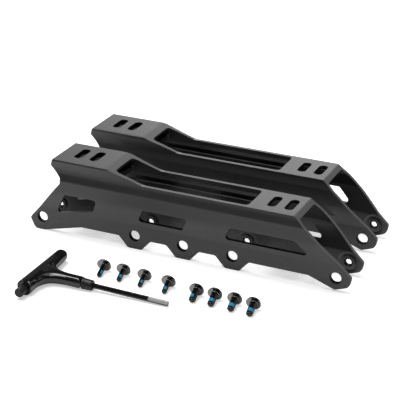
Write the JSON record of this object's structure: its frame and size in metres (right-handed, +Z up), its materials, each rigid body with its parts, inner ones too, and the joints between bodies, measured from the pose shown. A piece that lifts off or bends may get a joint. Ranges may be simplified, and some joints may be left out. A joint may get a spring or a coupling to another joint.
{
  "type": "inline skate frame",
  "caption": "Pair of one-piece channel frames for inline skates, raised heel deck, slotted mounts, axle holes and side windows, with mounting bolts and a T-handle hex wrench.",
  "frame": {"origin": "middle of the set's footprint, on the floor that the pieces lie on", "axes": "+X from heel to toe along the frames, +Y from the near frame to the far frame, +Z up"},
  "size_m": [0.2686, 0.2102, 0.0638],
  "materials": {
    "frame_anodised": "black anodised, satin",
    "bolt_black": "black oxide, semi-gloss",
    "lock_patch": "dry blue thread-lock coating",
    "handle_plastic": "moulded gloss black",
    "shaft_steel": "black oxide, bare at the tip",
    "collar_plastic": "satin black"
  },
  "bodies": {
    "near_frame": {"near_frame": "frame_anodised"},
    "far_frame": {"far_frame": "frame_anodised"},
    "slim_bolt_1": {"slim_bolt_1": "bolt_black", "slim_patch_1": "lock_patch"},
    "slim_bolt_2": {"slim_bolt_2": "bolt_black", "slim_patch_2": "lock_patch"},
    "slim_bolt_3": {"slim_bolt_3": "bolt_black", "slim_patch_3": "lock_patch"},
    "slim_bolt_4": {"slim_bolt_4": "bolt_black", "slim_patch_4": "lock_patch"},
    "thick_bolt_1": {"thick_bolt_1": "bolt_black", "thick_patch_1": "lock_patch"},
    "thick_bolt_2": {"thick_bolt_2": "bolt_black", "thick_patch_2": "lock_patch"},
    "thick_bolt_3": {"thick_bolt_3": "bolt_black", "thick_patch_3": "lock_patch"},
    "thick_bolt_4": {"thick_bolt_4": "bolt_black", "thick_patch_4": "lock_patch"},
    "wrench": {"wrench_handle": "handle_plastic", "wrench_shaft": "shaft_steel", "shaft_collar": "collar_plastic", "bearing_pusher": "collar_plastic"}
  },
  "joints": [
    {"name": "far_frame_lift", "type": "slide", "parent": "near_frame", "child": "far_frame", "axis": [0, 0, 1], "range_m": [0, 0.08]},
    {"name": "slim_bolt_1_lift", "type": "slide", "parent": "near_frame", "child": "slim_bolt_1", "axis": [0, 0, 1], "range_m": [0, 0.05]},
    {"name": "slim_bolt_2_lift", "type": "slide", "parent": "near_frame", "child": "slim_bolt_2", "axis": [0, 0, 1], "range_m": [0, 0.05]},
    {"name": "slim_bolt_3_lift", "type": "slide", "parent": "near_frame", "child": "slim_bolt_3", "axis": [0, 0, 1], "range_m": [0, 0.05]},
    {"name": "slim_bolt_4_lift", "type": "slide", "parent": "near_frame", "child": "slim_bolt_4", "axis": [0, 0, 1], "range_m": [0, 0.05]},
    {"name": "thick_bolt_1_lift", "type": "slide", "parent": "near_frame", "child": "thick_bolt_1", "axis": [0, 0, 1], "range_m": [0, 0.05]},
    {"name": "thick_bolt_2_lift", "type": "slide", "parent": "near_frame", "child": "thick_bolt_2", "axis": [0, 0, 1], "range_m": [0, 0.05]},
    {"name": "thick_bolt_3_lift", "type": "slide", "parent": "near_frame", "child": "thick_bolt_3", "axis": [0, 0, 1], "range_m": [0, 0.05]},
    {"name": "thick_bolt_4_lift", "type": "slide", "parent": "near_frame", "child": "thick_bolt_4", "axis": [0, 0, 1], "range_m": [0, 0.05]},
    {"name": "wrench_lift", "type": "slide", "parent": "near_frame", "child": "wrench", "axis": [0, 0, 1], "range_m": [0, 0.06]}
  ]
}
